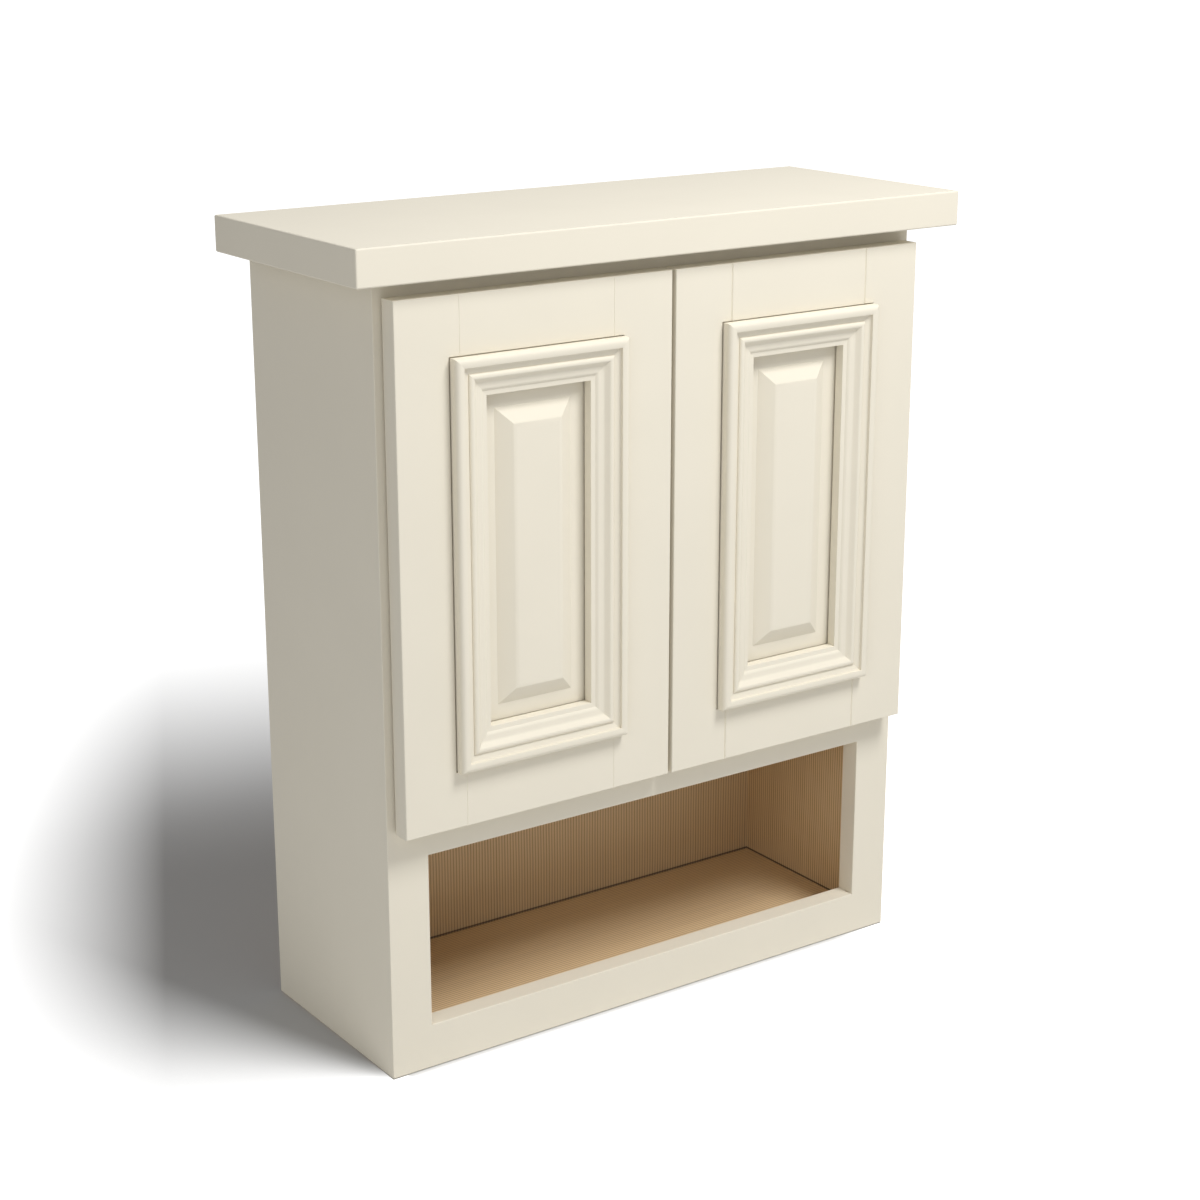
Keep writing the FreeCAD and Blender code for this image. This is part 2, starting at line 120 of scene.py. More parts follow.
def easeEdges(board, low, high, pairs, width, segments, spans=None):
    # rounds the edges where two named sides meet, in these spans of height or all the way
    mesh = openMesh(board)
    ends = (low, high)
    for edge in mesh.edges:
        middle = (edge.verts[0].co + edge.verts[1].co) / 2
        touched = set()
        for side, (axis, end) in sideOf.items():
            if abs(middle[axis] - ends[end][axis]) < touching:
                touched.add(side)
        inSpan = spans is None or any(bottom < middle.z < top for bottom, top in spans)
        if inSpan and any(set(pair) <= touched for pair in pairs):
            edge.select_set(True)
    mesh.select_flush_mode()
    bpy.ops.mesh.bevel(offset=width, segments=segments, profile=roundProfile, affect="EDGES")
    closeMesh(board)


def scoreAcross(board, heights):  # new edges round the board at these heights
    openMesh(board)
    for height in heights:
        bpy.ops.mesh.select_all(action="SELECT")
        bpy.ops.mesh.bisect(plane_co=(0, 0, height), plane_no=(0, 0, 1))
    closeMesh(board)


def carve(piece, cutter):  # takes the cutter's shape out of the piece and clears the cutter away
    takeUp(piece)
    cut = piece.modifiers.new("carve", "BOOLEAN")
    cut.operation = "DIFFERENCE"
    cut.solver = "EXACT"
    cut.object = cutter
    bpy.ops.object.modifier_apply(modifier=cut.name)
    bpy.data.objects.remove(cutter)


def smoothOff(piece, angle):  # flat faces stay flat, edges that turn by less than the angle look soft
    takeUp(piece)
    bpy.ops.object.shade_smooth_by_angle(angle=math.radians(angle))
    even = piece.modifiers.new("even", "WEIGHTED_NORMAL")
    even.keep_sharp = True
    bpy.ops.object.modifier_apply(modifier=even.name)


def dress(piece, material, body, slot, *nodes):
    piece.data.materials.clear()
    piece.data.materials.append(material)
    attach(piece, body)
    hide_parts(*nodes)


# shader nodes
evenly = (1, 1, 1)  # a pattern that isn't stretched
mixColours = {"first": 6, "second": 7, "result": 2}  # the mix node's sockets for colours


def newMaterial(name):
    material = bpy.data.materials.new(name)
    material.use_nodes = True
    nodes = material.node_tree.nodes
    return material, nodes, material.node_tree.links, nodes["Principled BSDF"]


def noiseAt(nodes, links, stretch, scale, detail=3.0, roughness=0.5):
    place = nodes.new("ShaderNodeTexCoord")
    mapping = nodes.new("ShaderNodeMapping")
    mapping.inputs["Scale"].default_value = stretch
    noise = nodes.new("ShaderNodeTexNoise")
    noise.inputs["Scale"].default_value = scale
    noise.inputs["Detail"].default_value = detail
    noise.inputs["Roughness"].default_value = roughness
    links.new(place.outputs["Object"], mapping.inputs["Vector"])
    links.new(mapping.outputs["Vector"], noise.inputs["Vector"])
    return noise.outputs["Fac"]


def placeInAxes(nodes, links):  # the place on the piece, as X, Y and Z
    place = nodes.new("ShaderNodeTexCoord")
    split = nodes.new("ShaderNodeSeparateXYZ")
    links.new(place.outputs["Object"], split.inputs["Vector"])
    return split.outputs


def spread(nodes, links, value, low, high, fromLow=0.3, fromHigh=0.7):
    rangeNode = nodes.new("ShaderNodeMapRange")
    rangeNode.inputs["From Min"].default_value = fromLow
    rangeNode.inputs["From Max"].default_value = fromHigh
    rangeNode.inputs["To Min"].default_value = low
    rangeNode.inputs["To Max"].default_value = high
    links.new(value, rangeNode.inputs["Value"])
    return rangeNode.outputs["Result"]


def tint(nodes, links, value, colours):  # colours evenly along a ramp
    ramp = nodes.new("ShaderNodeValToRGB")
    stops = ramp.color_ramp.elements
    last = len(colours) - 1
    while len(stops) <= last:
        stops.new(0.5)  # anywhere between the two ends, and placed below
    for index, colour in enumerate(colours):
        stops[index].position = index / last
        stops[index].color = (*colour, 1)
    links.new(value, ramp.inputs["Fac"])
    return ramp.outputs["Color"]


def calculate(nodes, links, operation, first, second=None):
    step = nodes.new("ShaderNodeMath")
    step.operation = operation
    for socket, value in zip(step.inputs, (first, second)):
        if isinstance(value, (int, float)):
            socket.default_value = value
        elif value is not None:
            links.new(value, socket)
    return step.outputs["Value"]


def blendColours(nodes, links, share, first, second):
    mix = nodes.new("ShaderNodeMix")
    mix.data_type = "RGBA"
    links.new(share, mix.inputs["Factor"])
    links.new(first, mix.inputs[mixColours["first"]])
    links.new(second, mix.inputs[mixColours["second"]])
    return mix.outputs[mixColours["result"]]


def shaded(nodes, links, colour, shade):
    scale = nodes.new("ShaderNodeVectorMath")
    scale.operation = "SCALE"
    links.new(colour, scale.inputs[0])
    links.new(shade, scale.inputs["Scale"])
    return scale.outputs["Vector"]


def raiseBy(nodes, links, height, depth, under=None):
    bump = nodes.new("ShaderNodeBump")
    bump.inputs["Strength"].default_value = 1.0
    bump.inputs["Distance"].default_value = depth
    links.new(height, bump.inputs["Height"])
    if under:
        links.new(under, bump.inputs["Normal"])
    return bump.outputs["Normal"]


# cream paint, with the wood's grain just showing through it
paint = {
    "cream": ((0.785, 0.735, 0.620), (0.815, 0.763, 0.645)),
    "mottle": {"scale": 14.0},
    "gloss": (0.46, 0.56),
    "shine": 0.0,
    "topCoat": 0.15,
    "topCoatGloss": 0.3,
    "grain": {"scale": 1.0, "detail": 4.0, "roughness": 0.6},
    "grainAlong": {"x": (6, 160, 160), "z": (160, 160, 6)},
    "grainDepth": 0.02 * mm,
    "peel": {"scale": 700.0, "detail": 2.0},
    "peelDepth": 0.02 * mm,
}


def paintColour(nodes, links):
    return tint(nodes, links, noiseAt(nodes, links, evenly, **paint["mottle"]), paint["cream"])


def satin(shader):  # a dull body under a thin satin coat
    shader.inputs["Specular IOR Level"].default_value = paint["shine"]
    shader.inputs["Coat Weight"].default_value = paint["topCoat"]
    shader.inputs["Coat Roughness"].default_value = paint["topCoatGloss"]


def paintMaterial(name, along):
    material, nodes, links, shader = newMaterial(name)
    links.new(paintColour(nodes, links), shader.inputs["Base Color"])
    satin(shader)
    grain = noiseAt(nodes, links, paint["grainAlong"][along], **paint["grain"])
    links.new(spread(nodes, links, grain, *paint["gloss"]), shader.inputs["Roughness"])
    ridges = raiseBy(nodes, links, grain, paint["grainDepth"])
    peel = noiseAt(nodes, links, evenly, **paint["peel"])
    links.new(raiseBy(nodes, links, peel, paint["peelDepth"], ridges), shader.inputs["Normal"])
    return material


# maple lining, printed with fine dark stripes
maple = {
    "tones": ((0.39, 0.265, 0.145), (0.72, 0.54, 0.325), (0.81, 0.62, 0.385)),
    "pitch": 3.1 * mm,
    "wander": 1.4,
    "wanderDetail": 2.0,
    "wanderScale": 0.16,
    "grain": {"scale": 1.0, "detail": 5.0, "roughness": 0.6},
    "alongGrain": 5,
    "acrossGrain": 220,
    "grainShare": 0.3,
    "grainDepth": 0.04 * mm,
    # a darker line along each joint of a lined wall with a board: a joint line with painted shade of the
    # crevice there
    "jointWidth": 1.1 * mm,
    "jointShade": 0.3,
    "gloss": (0.42, 0.55),
}
waveRadians = 20  # what the wave texture turns by in one unit at a scale of 1


def mapleFigure(nodes, links, across, run):  # stripes repeat across one axis and run along another
    place = nodes.new("ShaderNodeTexCoord")
    wave = nodes.new("ShaderNodeTexWave")
    wave.wave_type = "BANDS"
    wave.bands_direction = across
    wave.inputs["Scale"].default_value = 2 * math.pi / (waveRadians * maple["pitch"])
    wave.inputs["Distortion"].default_value = maple["wander"]
    wave.inputs["Detail"].default_value = maple["wanderDetail"]
    wave.inputs["Detail Scale"].default_value = maple["wanderScale"]
    links.new(place.outputs["Object"], wave.inputs["Vector"])
    stretch = [maple["alongGrain"] if axis == run else maple["acrossGrain"] for axis in "XYZ"]
    grain = noiseAt(nodes, links, stretch, **maple["grain"])
    mix = nodes.new("ShaderNodeMix")
    mix.inputs["Factor"].default_value = maple["grainShare"]
    links.new(wave.outputs["Fac"], mix.inputs["A"])
    links.new(grain, mix.inputs["B"])
    return mix.outputs["Result"], grain


def jointShade(nodes, links):  # 1, or less in the line where a lined wall meets a board: a joint line with painted shade of that crevice
    place = placeInAxes(nodes, links)
    low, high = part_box("back_panel")
    wide = maple["jointWidth"]
    shade = 1.0
    for node in ("bottom_deck", "middle_deck", "top_panel"):
        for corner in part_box(node):
            above = calculate(nodes, links, "SUBTRACT", place["Z"], corner.z)
            away = calculate(nodes, links, "ABSOLUTE", above)
            line = spread(nodes, links, away, maple["jointShade"], 1.0, wide / 2, wide)
            shade = calculate(nodes, links, "MULTIPLY", shade, line)
    behind = calculate(nodes, links, "GREATER_THAN", place["Y"], (low.y + high.y) / 2)
    return calculate(nodes, links, "MAXIMUM", shade, behind)


def linedColour(nodes, links, figure):
    colour = tint(nodes, links, figure, maple["tones"])
    return shaded(nodes, links, colour, jointShade(nodes, links))


def mapleMaterial(name, across, run, joints=False):
    material, nodes, links, shader = newMaterial(name)
    figure, grain = mapleFigure(nodes, links, across, run)
    # the back panel gets the painted joint shade where the boards meet it
    if joints:
        colour = linedColour(nodes, links, figure)
    else:
        colour = tint(nodes, links, figure, maple["tones"])
    links.new(colour, shader.inputs["Base Color"])
    links.new(spread(nodes, links, grain, *maple["gloss"]), shader.inputs["Roughness"])
    links.new(raiseBy(nodes, links, figure, maple["grainDepth"]), shader.inputs["Normal"])
    return material


# bare wood of the hanging rails and dowels
bareWood = {
    "tones": ((0.50, 0.36, 0.21), (0.66, 0.50, 0.32), (0.72, 0.57, 0.39)),
    "ring": (4, 90, 60),
    "grain": {"scale": 1.0, "detail": 6.0, "roughness": 0.62},
    "gloss": (0.60, 0.75),
    "depth": 0.12 * mm,
}


def bareWoodMaterial(name):
    material, nodes, links, shader = newMaterial(name)
    grain = noiseAt(nodes, links, bareWood["ring"], **bareWood["grain"])
    colour = tint(nodes, links, spread(nodes, links, grain, 0, 1), bareWood["tones"])
    links.new(colour, shader.inputs["Base Color"])
    links.new(spread(nodes, links, grain, *bareWood["gloss"]), shader.inputs["Roughness"])
    links.new(raiseBy(nodes, links, grain, bareWood["depth"]), shader.inputs["Normal"])
    return material


# a case side: paint outside, lining inside, pressed core at its edges
core = {
    "tones": ((0.36, 0.25, 0.15), (0.60, 0.46, 0.30), (0.70, 0.56, 0.39)),
    "chip": {"scale": 260.0, "detail": 2.0},
    "skin": 0.1 * mm,  # how deep the paint and the lining reach
}


def sideMaterial(name):
    material, nodes, links, shader = newMaterial(name)
    inner, outer = (corner.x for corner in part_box("side_panel_right"))
    reach = calculate(nodes, links, "ABSOLUTE", placeInAxes(nodes, links)["X"])
    isOuter = calculate(nodes, links, "GREATER_THAN", reach, outer - core["skin"])
    isInner = calculate(nodes, links, "LESS_THAN", reach, inner + core["skin"])
    chips = spread(nodes, links, noiseAt(nodes, links, evenly, **core["chip"]), 0, 1)
    figure, grain = mapleFigure(nodes, links, "Y", "Z")
    pressed = tint(nodes, links, chips, core["tones"])
    # the lining inside gets the painted joint shade where the boards meet it
    colour = blendColours(nodes, links, isInner, pressed, linedColour(nodes, links, figure))
    colour = blendColours(nodes, links, isOuter, colour, paintColour(nodes, links))
    links.new(colour, shader.inputs["Base Color"])
    satin(shader)
    links.new(spread(nodes, links, grain, *paint["gloss"]), shader.inputs["Roughness"])
    peel = noiseAt(nodes, links, evenly, **paint["peel"])
    links.new(raiseBy(nodes, links, peel, paint["peelDepth"]), shader.inputs["Normal"])
    return material


# plated steel of the hinges, screws and shelf pegs, and the soft vinyl of the bumpers
steel = {
    "tones": ((0.60, 0.58, 0.55), (0.74, 0.72, 0.69)),
    "metallic": 1.0,
    "cloud": {"scale": 60.0, "detail": 4.0},
    "gloss": (0.36, 0.48),
    "fine": {"scale": 1200.0, "detail": 2.0},
    "depth": 0.01 * mm,
}
vinyl = {
    "tones": ((0.62, 0.61, 0.57), (0.70, 0.69, 0.65)),
    "metallic": 0.0,
    "cloud": {"scale": 300.0, "detail": 4.0},
    "gloss": (0.35, 0.5),
    "fine": {"scale": 6000.0, "detail": 2.0},
    "depth": 0.02 * mm,
}


def clouded(name, look):  # one colour gently clouded, with a matching play of gloss
    material, nodes, links, shader = newMaterial(name)
    shader.inputs["Metallic"].default_value = look["metallic"]
    cloud = noiseAt(nodes, links, evenly, **look["cloud"])
    colour = tint(nodes, links, spread(nodes, links, cloud, 0, 1), look["tones"])
    links.new(colour, shader.inputs["Base Color"])
    links.new(spread(nodes, links, cloud, *look["gloss"]), shader.inputs["Roughness"])
    fine = noiseAt(nodes, links, evenly, **look["fine"])
    links.new(raiseBy(nodes, links, fine, look["depth"]), shader.inputs["Normal"])
    return material


paintAlongX = paintMaterial("cream_paint_along_x", "x")
paintAlongZ = paintMaterial("cream_paint_along_z", "z")
mapleBack = mapleMaterial("maple_back", "X", "Z", True)
mapleDeck = mapleMaterial("maple_deck", "Y", "X")
caseSide = sideMaterial("case_side")
rawWood = bareWoodMaterial("bare_wood")
plated = clouded("plated_steel", steel)
softVinyl = clouded("soft_vinyl", vinyl)
print("materials made")


# top slab
slabLook = {"ease": 1.5 * mm, "segments": 4, "smooth": 40}


def buildSlab():
    low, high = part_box("top_slab")
    slab = addBlock("painted_top_slab", low, high)
    easeEdges(slab, low, high, allEdges, slabLook["ease"], slabLook["segments"])
    smoothOff(slab, slabLook["smooth"])
    dress(slab, paintAlongX, "cabinet", "cream_paint", "top_slab")


# face frame
frameLook = {"ease": 0.8 * mm, "innerEase": 1.0 * mm, "endEase": 0.8 * mm, "segments": 3, "smooth": 20}


def buildFrame():
    levels = ("bottom", "middle", "top")
    segments = frameLook["segments"]
    rails = {level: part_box("frame_" + level + "_rail") for level in levels}
    openings = [(rails[lower][1].z, rails[upper][0].z) for lower, upper in zip(levels, levels[1:])]
    for outer, inner in (("left", "right"), ("right", "left")):
        node = "frame_stile_" + outer
        low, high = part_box(node)
        stile = addBlock("painted_" + node, low, high)
        scoreAcross(stile, [height for opening in openings for height in opening])
        easeEdges(stile, low, high, [("front", outer)], frameLook["ease"], segments)
        easeEdges(stile, low, high, [("front", inner)], frameLook["innerEase"], segments, openings)
        smoothOff(stile, frameLook["smooth"])
        dress(stile, paintAlongZ, "cabinet", "cream_paint", node)
    openSides = {"top": ["bottom"], "middle": ["top", "bottom"], "bottom": ["top"]}
    for level, sides in openSides.items():
        node = "frame_" + level + "_rail"
        low, high = rails[level]
        rail = addBlock("painted_" + node, low, high)
        fronts = [("front", side) for side in sides]
        ends = [(side, end) for side in sides for end in ("left", "right")]
        easeEdges(rail, low, high, fronts, frameLook["innerEase"], segments)
        easeEdges(rail, low, high, ends, frameLook["endEase"], segments)
        smoothOff(rail, frameLook["smooth"])
        dress(rail, paintAlongZ, "cabinet", "cream_paint", node)


# lined boards inside the case, a hair short of the sides and back
boardLook = {"sideGap": 1.4 * mm, "backGap": 2.4 * mm, "ease": 0.5 * mm, "segments": 2, "smooth": 40}


def buildBoards():
    for node in ("top_panel", "middle_deck", "bottom_deck", "adjustable_shelf"):
        low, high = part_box(node)
        if node != "adjustable_shelf":
            low.x += boardLook["sideGap"]
            high.x -= boardLook["sideGap"]
            high.y -= boardLook["backGap"]
        board = addBlock("lined_" + node, low, high)
        easeEdges(board, low, high, allEdges, boardLook["ease"], boardLook["segments"])
        smoothOff(board, boardLook["smooth"])
        dress(board, mapleDeck, "cabinet", "maple_lining", node)


# doors
doorLook = {
    "ease": 1.0 * mm,
    "backEase": 1.8 * mm,
    "segments": 4,
    "jointEase": {"left": 0.3 * mm, "right": 0.95 * mm},  # the right door's joints show more
    "jointSegments": 1,
    "grooveRoom": 0.1 * mm,
    "seat": 3.0 * mm,  # the shallow seat that the moulding is let into
    "seatGap": 0.7 * mm,
    "cupSides": 48,
    "smooth": 40,
}
panelLook = {
    "recess": 9.7 * mm,
    "step": 0.8 * mm,  # the tongue under the moulding's leg is thinner
    "margin": 13.0 * mm,
    "bevelWidth": 14.2 * mm,
    "bevelRise": 8.3 * mm,
    "fieldEase": 2.4 * mm,
    "fieldSegments": 5,
    "smooth": 25,
}
handed = {"left": ("left", "right"), "right": ("right", "left")}  # each door's hinge and meeting sides


def doorFace(hand):
    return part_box(hand + "_door_hinge_stile")[0].y


def mouldingBox(hand):  # the moulding's outer rectangle, as two corners
    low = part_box(hand + "_door_moulding_bottom")[0]
    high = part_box(hand + "_door_moulding_top")[1]
    return low, high


def grooveCutter(hand):  # the space that the panel's tongue takes
    low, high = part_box(hand + "_door_panel")
    room = Vector([doorLook["grooveRoom"]] * 3)
    low.y = doorFace(hand) + panelLook["recess"]
    return addBlock("groove_cutter", low - room, high + room)


def seatCutter(hand):
    low, high = mouldingBox(hand)
    gap = doorLook["seatGap"]
    face = doorFace(hand)
    seatLow = (low.x - gap, face - gap, low.z - gap)
    seatHigh = (high.x + gap, face + doorLook["seat"], high.z + gap)
    return addBlock("seat_cutter", seatLow, seatHigh)


def cupCutter(hand, level):
    low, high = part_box(hand + "_hinge_cup_" + level)
    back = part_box(hand + "_door_hinge_stile")[1].y
    centre = ((low.x + high.x) / 2, back, (low.z + high.z) / 2)
    return addRod("cup_cutter", centre, (high.x - low.x) / 2, 2 * (back - low.y), doorLook["cupSides"])


def buildDoorFrame(hand):
    body = hand + "_door"
    hinge, meeting = handed[hand]
    plans = {  # each board's outside edges, joints and finish
        "hinge_stile": ([hinge, "top", "bottom"], [meeting], paintAlongZ),
        "meeting_stile": ([meeting, "top", "bottom"], [hinge], paintAlongZ),
        "top_rail": (["top"], ["left", "right"], paintAlongX),
        "bottom_rail": (["bottom"], ["left", "right"], paintAlongX),
    }
    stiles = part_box(body + "_hinge_stile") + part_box(body + "_meeting_stile")
    railEnds = sorted(corner.x for corner in stiles)[1:3]  # the stiles' inner edges
    for part, (outside, joints, finish) in plans.items():
        node = body + "_" + part
        low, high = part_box(node)
        if part.endswith("rail"):
            low.x, high.x = railEnds
        board = addBlock("painted_" + node, low, high)
        eases = (  # the joints come first, so that they keep their width to the ends
            ("front", joints, doorLook["jointEase"][hand], doorLook["jointSegments"]),
            ("front", outside, doorLook["ease"], doorLook["segments"]),
            ("back", outside, doorLook["backEase"], doorLook["segments"]),
        )
        for face, sides, width, segments in eases:
            easeEdges(board, low, high, [(face, side) for side in sides], width, segments)
        carve(board, grooveCutter(hand))
        carve(board, seatCutter(hand))
        if part == "hinge_stile":
            carve(board, cupCutter(hand, "upper"))
            carve(board, cupCutter(hand, "lower"))
        smoothOff(board, doorLook["smooth"])
        dress(board, finish, body, "cream_paint", node)


def pickFront(mesh):  # the foremost face
    front = min(mesh.faces, key=lambda face: face.calc_center_median().y)
    front.select_set(True)
    mesh.select_flush_mode()


def buildPanel(hand):
    body = hand + "_door"
    node = body + "_panel"
    low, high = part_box(node)
    covered = high.z - (mouldingBox(hand)[1].z - mouldingLook["width"] * mm)
    tongueFace = doorFace(hand) + panelLook["recess"] + panelLook["step"]
    panel = addBlock("painted_" + node, (low.x, tongueFace, low.z), high)
    mesh = openMesh(panel, "FACE")
    pickFront(mesh)
    bpy.ops.mesh.inset(thickness=covered, depth=0)
    bpy.ops.mesh.extrude_region_move(TRANSFORM_OT_translate={"value": (0, -panelLook["step"], 0)})
    bpy.ops.mesh.inset(thickness=panelLook["margin"], depth=0)
    bpy.ops.mesh.inset(thickness=panelLook["bevelWidth"], depth=panelLook["bevelRise"])
    bpy.ops.mesh.select_mode(type="EDGE")
    bpy.ops.mesh.bevel(offset=panelLook["fieldEase"], segments=panelLook["fieldSegments"], affect="EDGES")
    closeMesh(panel)
    smoothOff(panel, panelLook["smooth"])
    dress(panel, paintAlongZ, body, "cream_paint", node)


# moulding section in millimetres, from its outer foot inwards: width of each run, height at its end
# above the door's face, and the bow of its edge as a share of its length, up if positive
quarterBow = (math.sqrt(2) - 1) / 2
mouldingLook = {
    "runs": [
        (3.8, 9.9, quarterBow), (3.7, 9.45, 0.04),  # bead
        (0.25, 7.0, 0), (1.2, 6.3, 0), (4.3, 5.15, 0),  # drop, hollow and slope
        (0, 5.75, 0), (2.95, 7.2, 0.14), (1.9, 6.4, 0.1),  # nose
        (2.4, 4.0, 0), (1.7, 3.05, -0.07),  # its fall and foot
        (3.0, 2.75, 0), (2.4, 1.75, 0.07), (0.9, 1.0, 0),  # band and its fall
        (3.5, 0.65, 0), (0.4, 0.25, quarterBow),  # lip
    ],
    "arcSteps": 8,
    "foot": [(0.7, 0.3), (0, 1.0), (0, 6.1)],  # undercut foot and outer wall
    "lap": 9.15,  # how far it lies over the door's frame, inside which its leg goes down
    "legRoom": 1.6,  # between the lip and the panel
    "legGap": 0.2,  # between the leg and the panel's tongue
    "slot": 2.5,  # how far the shadow slot goes in under the lip
    "smooth": 12,
}
mouldingLook["width"] = sum(width for width, height, bow in mouldingLook["runs"])


def arcThrough(start, middle, end, steps):  # points after start on the circle through three points
    (ax, ay), (bx, by), (cx, cy) = start, middle, end
    d = 2 * (ax * (by - cy) + bx * (cy - ay) + cx * (ay - by))
    a2, b2, c2 = ax * ax + ay * ay, bx * bx + by * by, cx * cx + cy * cy
    ux = (a2 * (by - cy) + b2 * (cy - ay) + c2 * (ay - by)) / d
    uy = (a2 * (cx - bx) + b2 * (ax - cx) + c2 * (bx - ax)) / d
    radius = math.hypot(ax - ux, ay - uy)
    first = math.atan2(ay - uy, ax - ux)
    mid = (math.atan2(by - uy, bx - ux) - first) % (2 * math.pi)
    last = (math.atan2(cy - uy, cx - ux) - first) % (2 * math.pi)
    sweep = last if mid < last else last - 2 * math.pi
    angles = [first + sweep * step / steps for step in range(1, steps + 1)]
    return [(ux + radius * math.cos(angle), uy + radius * math.sin(angle)) for angle in angles]


def bowed(start, end, bow, steps):  # an arc whose middle stands off by a share of its length
    run, rise = end[0] - start[0], end[1] - start[1]
    middle = ((start[0] + end[0]) / 2 - rise * bow, (start[1] + end[1]) / 2 + run * bow)
    return arcThrough(start, middle, end, steps)


def mouldingOutline():
    seat = -doorLook["seat"] / mm
    points = [(mouldingLook["foot"][0][0], seat)] + mouldingLook["foot"]
    for width, height, bow in mouldingLook["runs"]:
        end = (points[-1][0] + width, height)
        points += bowed(points[-1], end, bow, mouldingLook["arcSteps"]) if bow else [end]
    lap, inner = mouldingLook["lap"], mouldingLook["width"]
    slotEnd = inner - mouldingLook["slot"]
    legFoot = mouldingLook["legRoom"] - panelLook["recess"] / mm
    deepFoot = mouldingLook["legGap"] - (panelLook["recess"] + panelLook["step"]) / mm
    points += [(inner, legFoot), (slotEnd, legFoot), (slotEnd, deepFoot)]
    points += [(lap, deepFoot), (lap, seat)]
    return points


def buildMoulding(hand, side):
    body = hand + "_door"
    node = body + "_moulding_" + side
    low, high = mouldingBox(hand)
    isLevel = side in ("top", "bottom")
    rightward, upward = Vector((1, 0, 0)), Vector((0, 0, 1))
    along, across = (rightward, upward) if isLevel else (upward, rightward)
    length = (high - low).dot(along)
    fromHigh = side == "top" or (not isLevel and (side == "meeting_side") == (hand == "left"))
    inward = -across if fromHigh else across
    start = Vector((low.x, doorFace(hand), low.z))
    if fromHigh:
        start += (high - low).dot(across) * across
    startClean()
    outline = mouldingOutline()
    bpy.ops.mesh.primitive_circle_add(vertices=len(outline), radius=1, fill_type="NGON")
    stick = nameIt("painted_" + node)
    mesh = openMesh(stick, "FACE")
    mesh.verts.ensure_lookup_table()
    for vertex, (reach, height) in zip(mesh.verts, outline):
        vertex.co = start + inward * reach * mm + Vector((0, -height * mm, 0))
    bpy.ops.mesh.select_all(action="SELECT")
    bpy.ops.mesh.extrude_region_move(TRANSFORM_OT_translate={"value": along * length})
    for corner, away in ((start, -along), (start + along * length, along)):  # mitre both ends
        bpy.ops.mesh.select_all(action="SELECT")
        bpy.ops.mesh.bisect(plane_co=corner, plane_no=away + inward, use_fill=True, clear_outer=True)
    bpy.ops.mesh.select_all(action="SELECT")
    bpy.ops.mesh.normals_make_consistent(inside=False)
    closeMesh(stick)
    takeUp(stick)
    bpy.ops.object.shade_smooth_by_angle(angle=math.radians(mouldingLook["smooth"]))
    dress(stick, paintAlongX if isLevel else paintAlongZ, body, "cream_paint", node)


def buildDoors():
    for hand in handed:
        buildDoorFrame(hand)
        buildPanel(hand)
        for side in ("top", "bottom", "hinge_side", "meeting_side"):
            buildMoulding(hand, side)


buildSlab()
buildFrame()
buildBoards()
buildDoors()
print("painted and lined pieces made")


# finishes of the pieces that keep their own solids
def coat(material, *nodes):
    for node in nodes:
        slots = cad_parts[node].data.materials
        slots.clear()
        slots.append(material)


coat(caseSide, "side_panel_left", "side_panel_right")
coat(mapleBack, "back_panel")
coat(rawWood, "hanging_rail_upper", "hanging_rail_lower", "case_dowels", "frame_dowels")
coat(plated, "slab_screws", "shelf_pins", "hinge_arm_screws")
for hand in handed:
    coat(plated, hand + "_hinge_pins", hand + "_hinge_cup_screws")
    coat(softVinyl, hand + "_door_bumpers")
    for level in ("upper", "lower"):
        coat(plated, hand + "_hinge_cup_" + level, hand + "_hinge_arm_" + level)
print("hardware finished")


# floor, light and camera
studio = {
    "floorSize": 60.0,
    "floorTone": (0.9, 0.5),  # as it lights the part, and as it is seen
    "floorDrop": 1.1 * mm,  # leaves a thin dark line under the case
    "footRoom": 0.3 * mm,
    "underGlow": 0.35,  # lights the case's underside alone
    "shadowEdges": [  # where the shadow clears to plain white: degrees from +X, metres out and wide
        (155.1, 0.343, 0.18, "LINEAR"), (73, 0.184, 1.043, "SMOOTHSTEP"),
        (-90, 0.192, 0.02, "SMOOTHSTEP"), (0, 0.2, 0.08, "SMOOTHSTEP"),
    ],
    "shadowFan": {  # it also clears in a fan about one corner: degrees from +X
        "corner": (-0.2559, -0.1937), "facing": 120, "start": 106.4, "span": 76.5,
    },
    "sky": 0.33,
    "white": 1.0,
    "aim": (0, -0.1, -0.05),
}
headings = {"left": 180, "right": 0, "front": -90, "back": 90}  # degrees from +X
lamps = {  # degrees to the right of the front, degrees up, metres, watts
    "key": {"turn": 20, "rise": 53.5, "away": 2.2, "size": 0.75, "power": 37.0},
    "left_fill": {"turn": -52, "rise": 20, "away": 2.2, "size": 0.9, "power": 5.0},
}
shot = {
    "place": (-1.12316, -1.71075, 0.50291),
    "pitch": -16.9205,
    "yaw": -35.1116,
    "focal": 2343.04,
    "frame": 1200,
    "sensor": 36.0,
}


def seenRay(nodes, links):  # 1 for rays that the camera, a gloss or a glass sends out
    path = nodes.new("ShaderNodeLightPath")
    total = path.outputs["Is Camera Ray"]
    for name in ("Is Glossy Ray", "Is Transmission Ray"):
        total = calculate(nodes, links, "MAXIMUM", total, path.outputs[name])
    return total


def heading(angle):
    return Vector((math.cos(math.radians(angle)), math.sin(math.radians(angle)), 0))


def reachAlong(nodes, links, angle, origin=(0, 0)):  # metres from the origin in one level direction
    place = nodes.new("ShaderNodeTexCoord")
    across = nodes.new("ShaderNodeVectorMath")
    across.operation = "DOT_PRODUCT"
    across.inputs[1].default_value = heading(angle)
    links.new(place.outputs["Object"], across.inputs[0])
    start = heading(angle).dot(Vector((*origin, 0)))
    return calculate(nodes, links, "SUBTRACT", across.outputs["Value"], start)


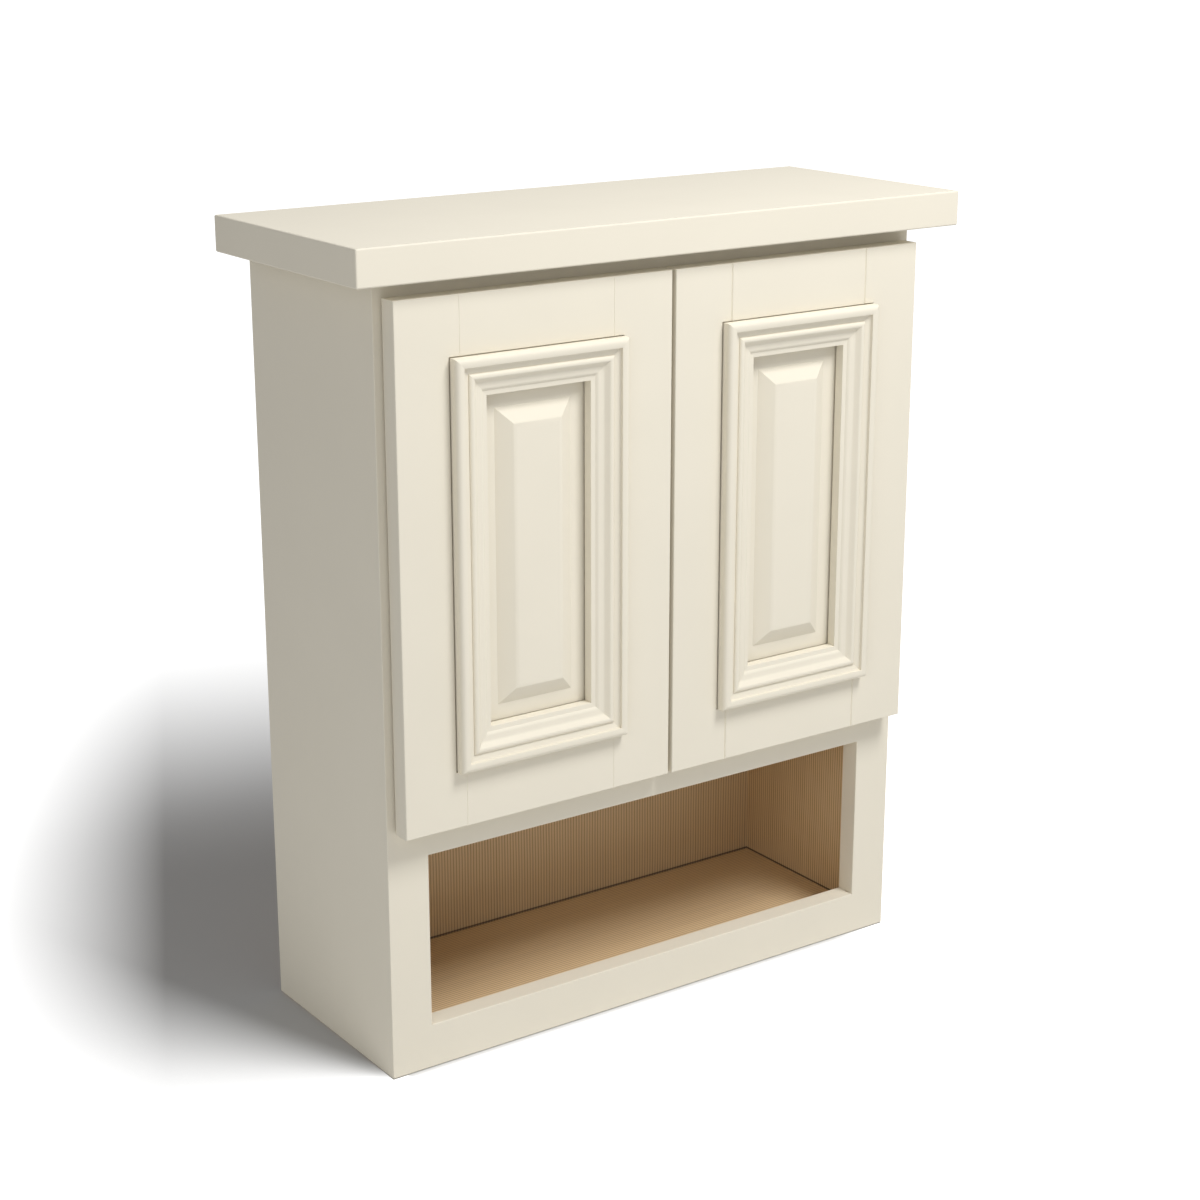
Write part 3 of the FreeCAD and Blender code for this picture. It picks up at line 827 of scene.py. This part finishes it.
def fadeOut(nodes, links, value, start, wide, course="LINEAR"):
    fade = nodes.new("ShaderNodeMapRange")
    fade.interpolation_type = course
    fade.inputs["From Min"].default_value = start
    fade.inputs["From Max"].default_value = start + wide
    fade.inputs["To Min"].default_value = 1.0
    fade.inputs["To Max"].default_value = 0.0
    links.new(value, fade.inputs["Value"])
    return fade.outputs["Result"]


def softShadow(nodes, links):  # 1 in the full shadow, 0 where the floor is plain white
    fan = studio["shadowFan"]
    ahead = reachAlong(nodes, links, fan["facing"], fan["corner"])
    aside = reachAlong(nodes, links, fan["facing"] + quarterTurn, fan["corner"])
    turned = calculate(nodes, links, "ARCTAN2", aside, ahead)
    start, span = math.radians(fan["start"] - fan["facing"]), math.radians(fan["span"])
    dark = fadeOut(nodes, links, turned, start, span)
    for angle, out, wide, course in studio["shadowEdges"]:
        edge = fadeOut(nodes, links, reachAlong(nodes, links, angle), out, wide, course)
        dark = calculate(nodes, links, "MULTIPLY", dark, edge)
    return dark


def footShadow(nodes, links):  # 1 right under the case
    low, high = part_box("side_panel_left")[0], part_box("side_panel_right")[1]
    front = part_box("frame_bottom_rail")[0].y
    reaches = {"left": -low.x, "right": high.x, "front": -front, "back": high.y}
    dark = 1.0
    for side, out in reaches.items():
        away = reachAlong(nodes, links, headings[side])
        edge = fadeOut(nodes, links, away, out, studio["footRoom"])
        dark = calculate(nodes, links, "MULTIPLY", dark, edge)
    return dark


def buildFloor():
    startClean()
    lowest = cadBox[0].z - studio["floorDrop"]
    bpy.ops.mesh.primitive_plane_add(size=studio["floorSize"], location=(0, 0, lowest))
    floor = nameIt("floor")
    material, nodes, links, shader = newMaterial("pale_floor")
    nodes.remove(shader)
    seen = seenRay(nodes, links)
    matte = nodes.new("ShaderNodeBsdfDiffuse")
    links.new(spread(nodes, links, seen, *studio["floorTone"], 0, 1), matte.inputs["Color"])
    foot = footShadow(nodes, links)
    dark = calculate(nodes, links, "MAXIMUM", softShadow(nodes, links), foot)
    clear = calculate(nodes, links, "SUBTRACT", 1.0, dark)
    white = calculate(nodes, links, "MULTIPLY", seen, clear)
    unseen = spread(nodes, links, seen, studio["underGlow"], 0, 0, 1)
    soft = calculate(nodes, links, "MULTIPLY", unseen, foot)
    glow = nodes.new("ShaderNodeEmission")
    links.new(calculate(nodes, links, "ADD", white, soft), glow.inputs["Strength"])
    both = nodes.new("ShaderNodeAddShader")
    links.new(matte.outputs["BSDF"], both.inputs[0])
    links.new(glow.outputs["Emission"], both.inputs[1])
    sided = nodes.new("ShaderNodeMixShader")  # the floor hides nothing from below
    links.new(nodes.new("ShaderNodeNewGeometry").outputs["Backfacing"], sided.inputs["Fac"])
    links.new(both.outputs["Shader"], sided.inputs[1])
    links.new(nodes.new("ShaderNodeBsdfTransparent").outputs["BSDF"], sided.inputs[2])
    links.new(sided.outputs["Shader"], nodes["Material Output"].inputs["Surface"])
    floor.data.materials.append(material)


def buildSky():
    world = bpy.data.worlds.new("studio")
    bpy.context.scene.world = world
    world.use_nodes = True
    nodes, links = world.node_tree.nodes, world.node_tree.links
    strength = spread(nodes, links, seenRay(nodes, links), studio["sky"], studio["white"], 0, 1)
    nodes["Background"].inputs["Color"].default_value = (1, 1, 1, 1)
    links.new(strength, nodes["Background"].inputs["Strength"])


def buildLamps():
    for name, look in lamps.items():
        light = bpy.data.lights.new(name, "AREA")
        light.shape = "SQUARE"
        light.size = look["size"]
        light.energy = look["power"]
        lamp = bpy.data.objects.new(name, light)
        bpy.context.scene.collection.objects.link(lamp)
        turn, rise = math.radians(look["turn"]), math.radians(look["rise"])
        flat = math.cos(rise)
        toLamp = Vector((math.sin(turn) * flat, -math.cos(turn) * flat, math.sin(rise)))
        lamp.location = Vector(studio["aim"]) + toLamp * look["away"]
        lamp.rotation_euler = (-toLamp).to_track_quat("-Z", "Y").to_euler()
        lamp.visible_camera = False


def buildCamera():
    lens = bpy.data.cameras.new("camera")
    lens.sensor_width = shot["sensor"]
    lens.lens = shot["focal"] / shot["frame"] * shot["sensor"]
    camera = bpy.data.objects.new("camera", lens)
    bpy.context.scene.collection.objects.link(camera)
    camera.location = shot["place"]
    tilt = quarterTurn + shot["pitch"]  # a quarter turn looks level
    camera.rotation_euler = (math.radians(tilt), 0, math.radians(shot["yaw"]))
    bpy.context.scene.camera = camera


buildFloor()
buildSky()
buildLamps()
buildCamera()
bpy.context.scene.view_settings.view_transform = "Standard"
print("studio ready")
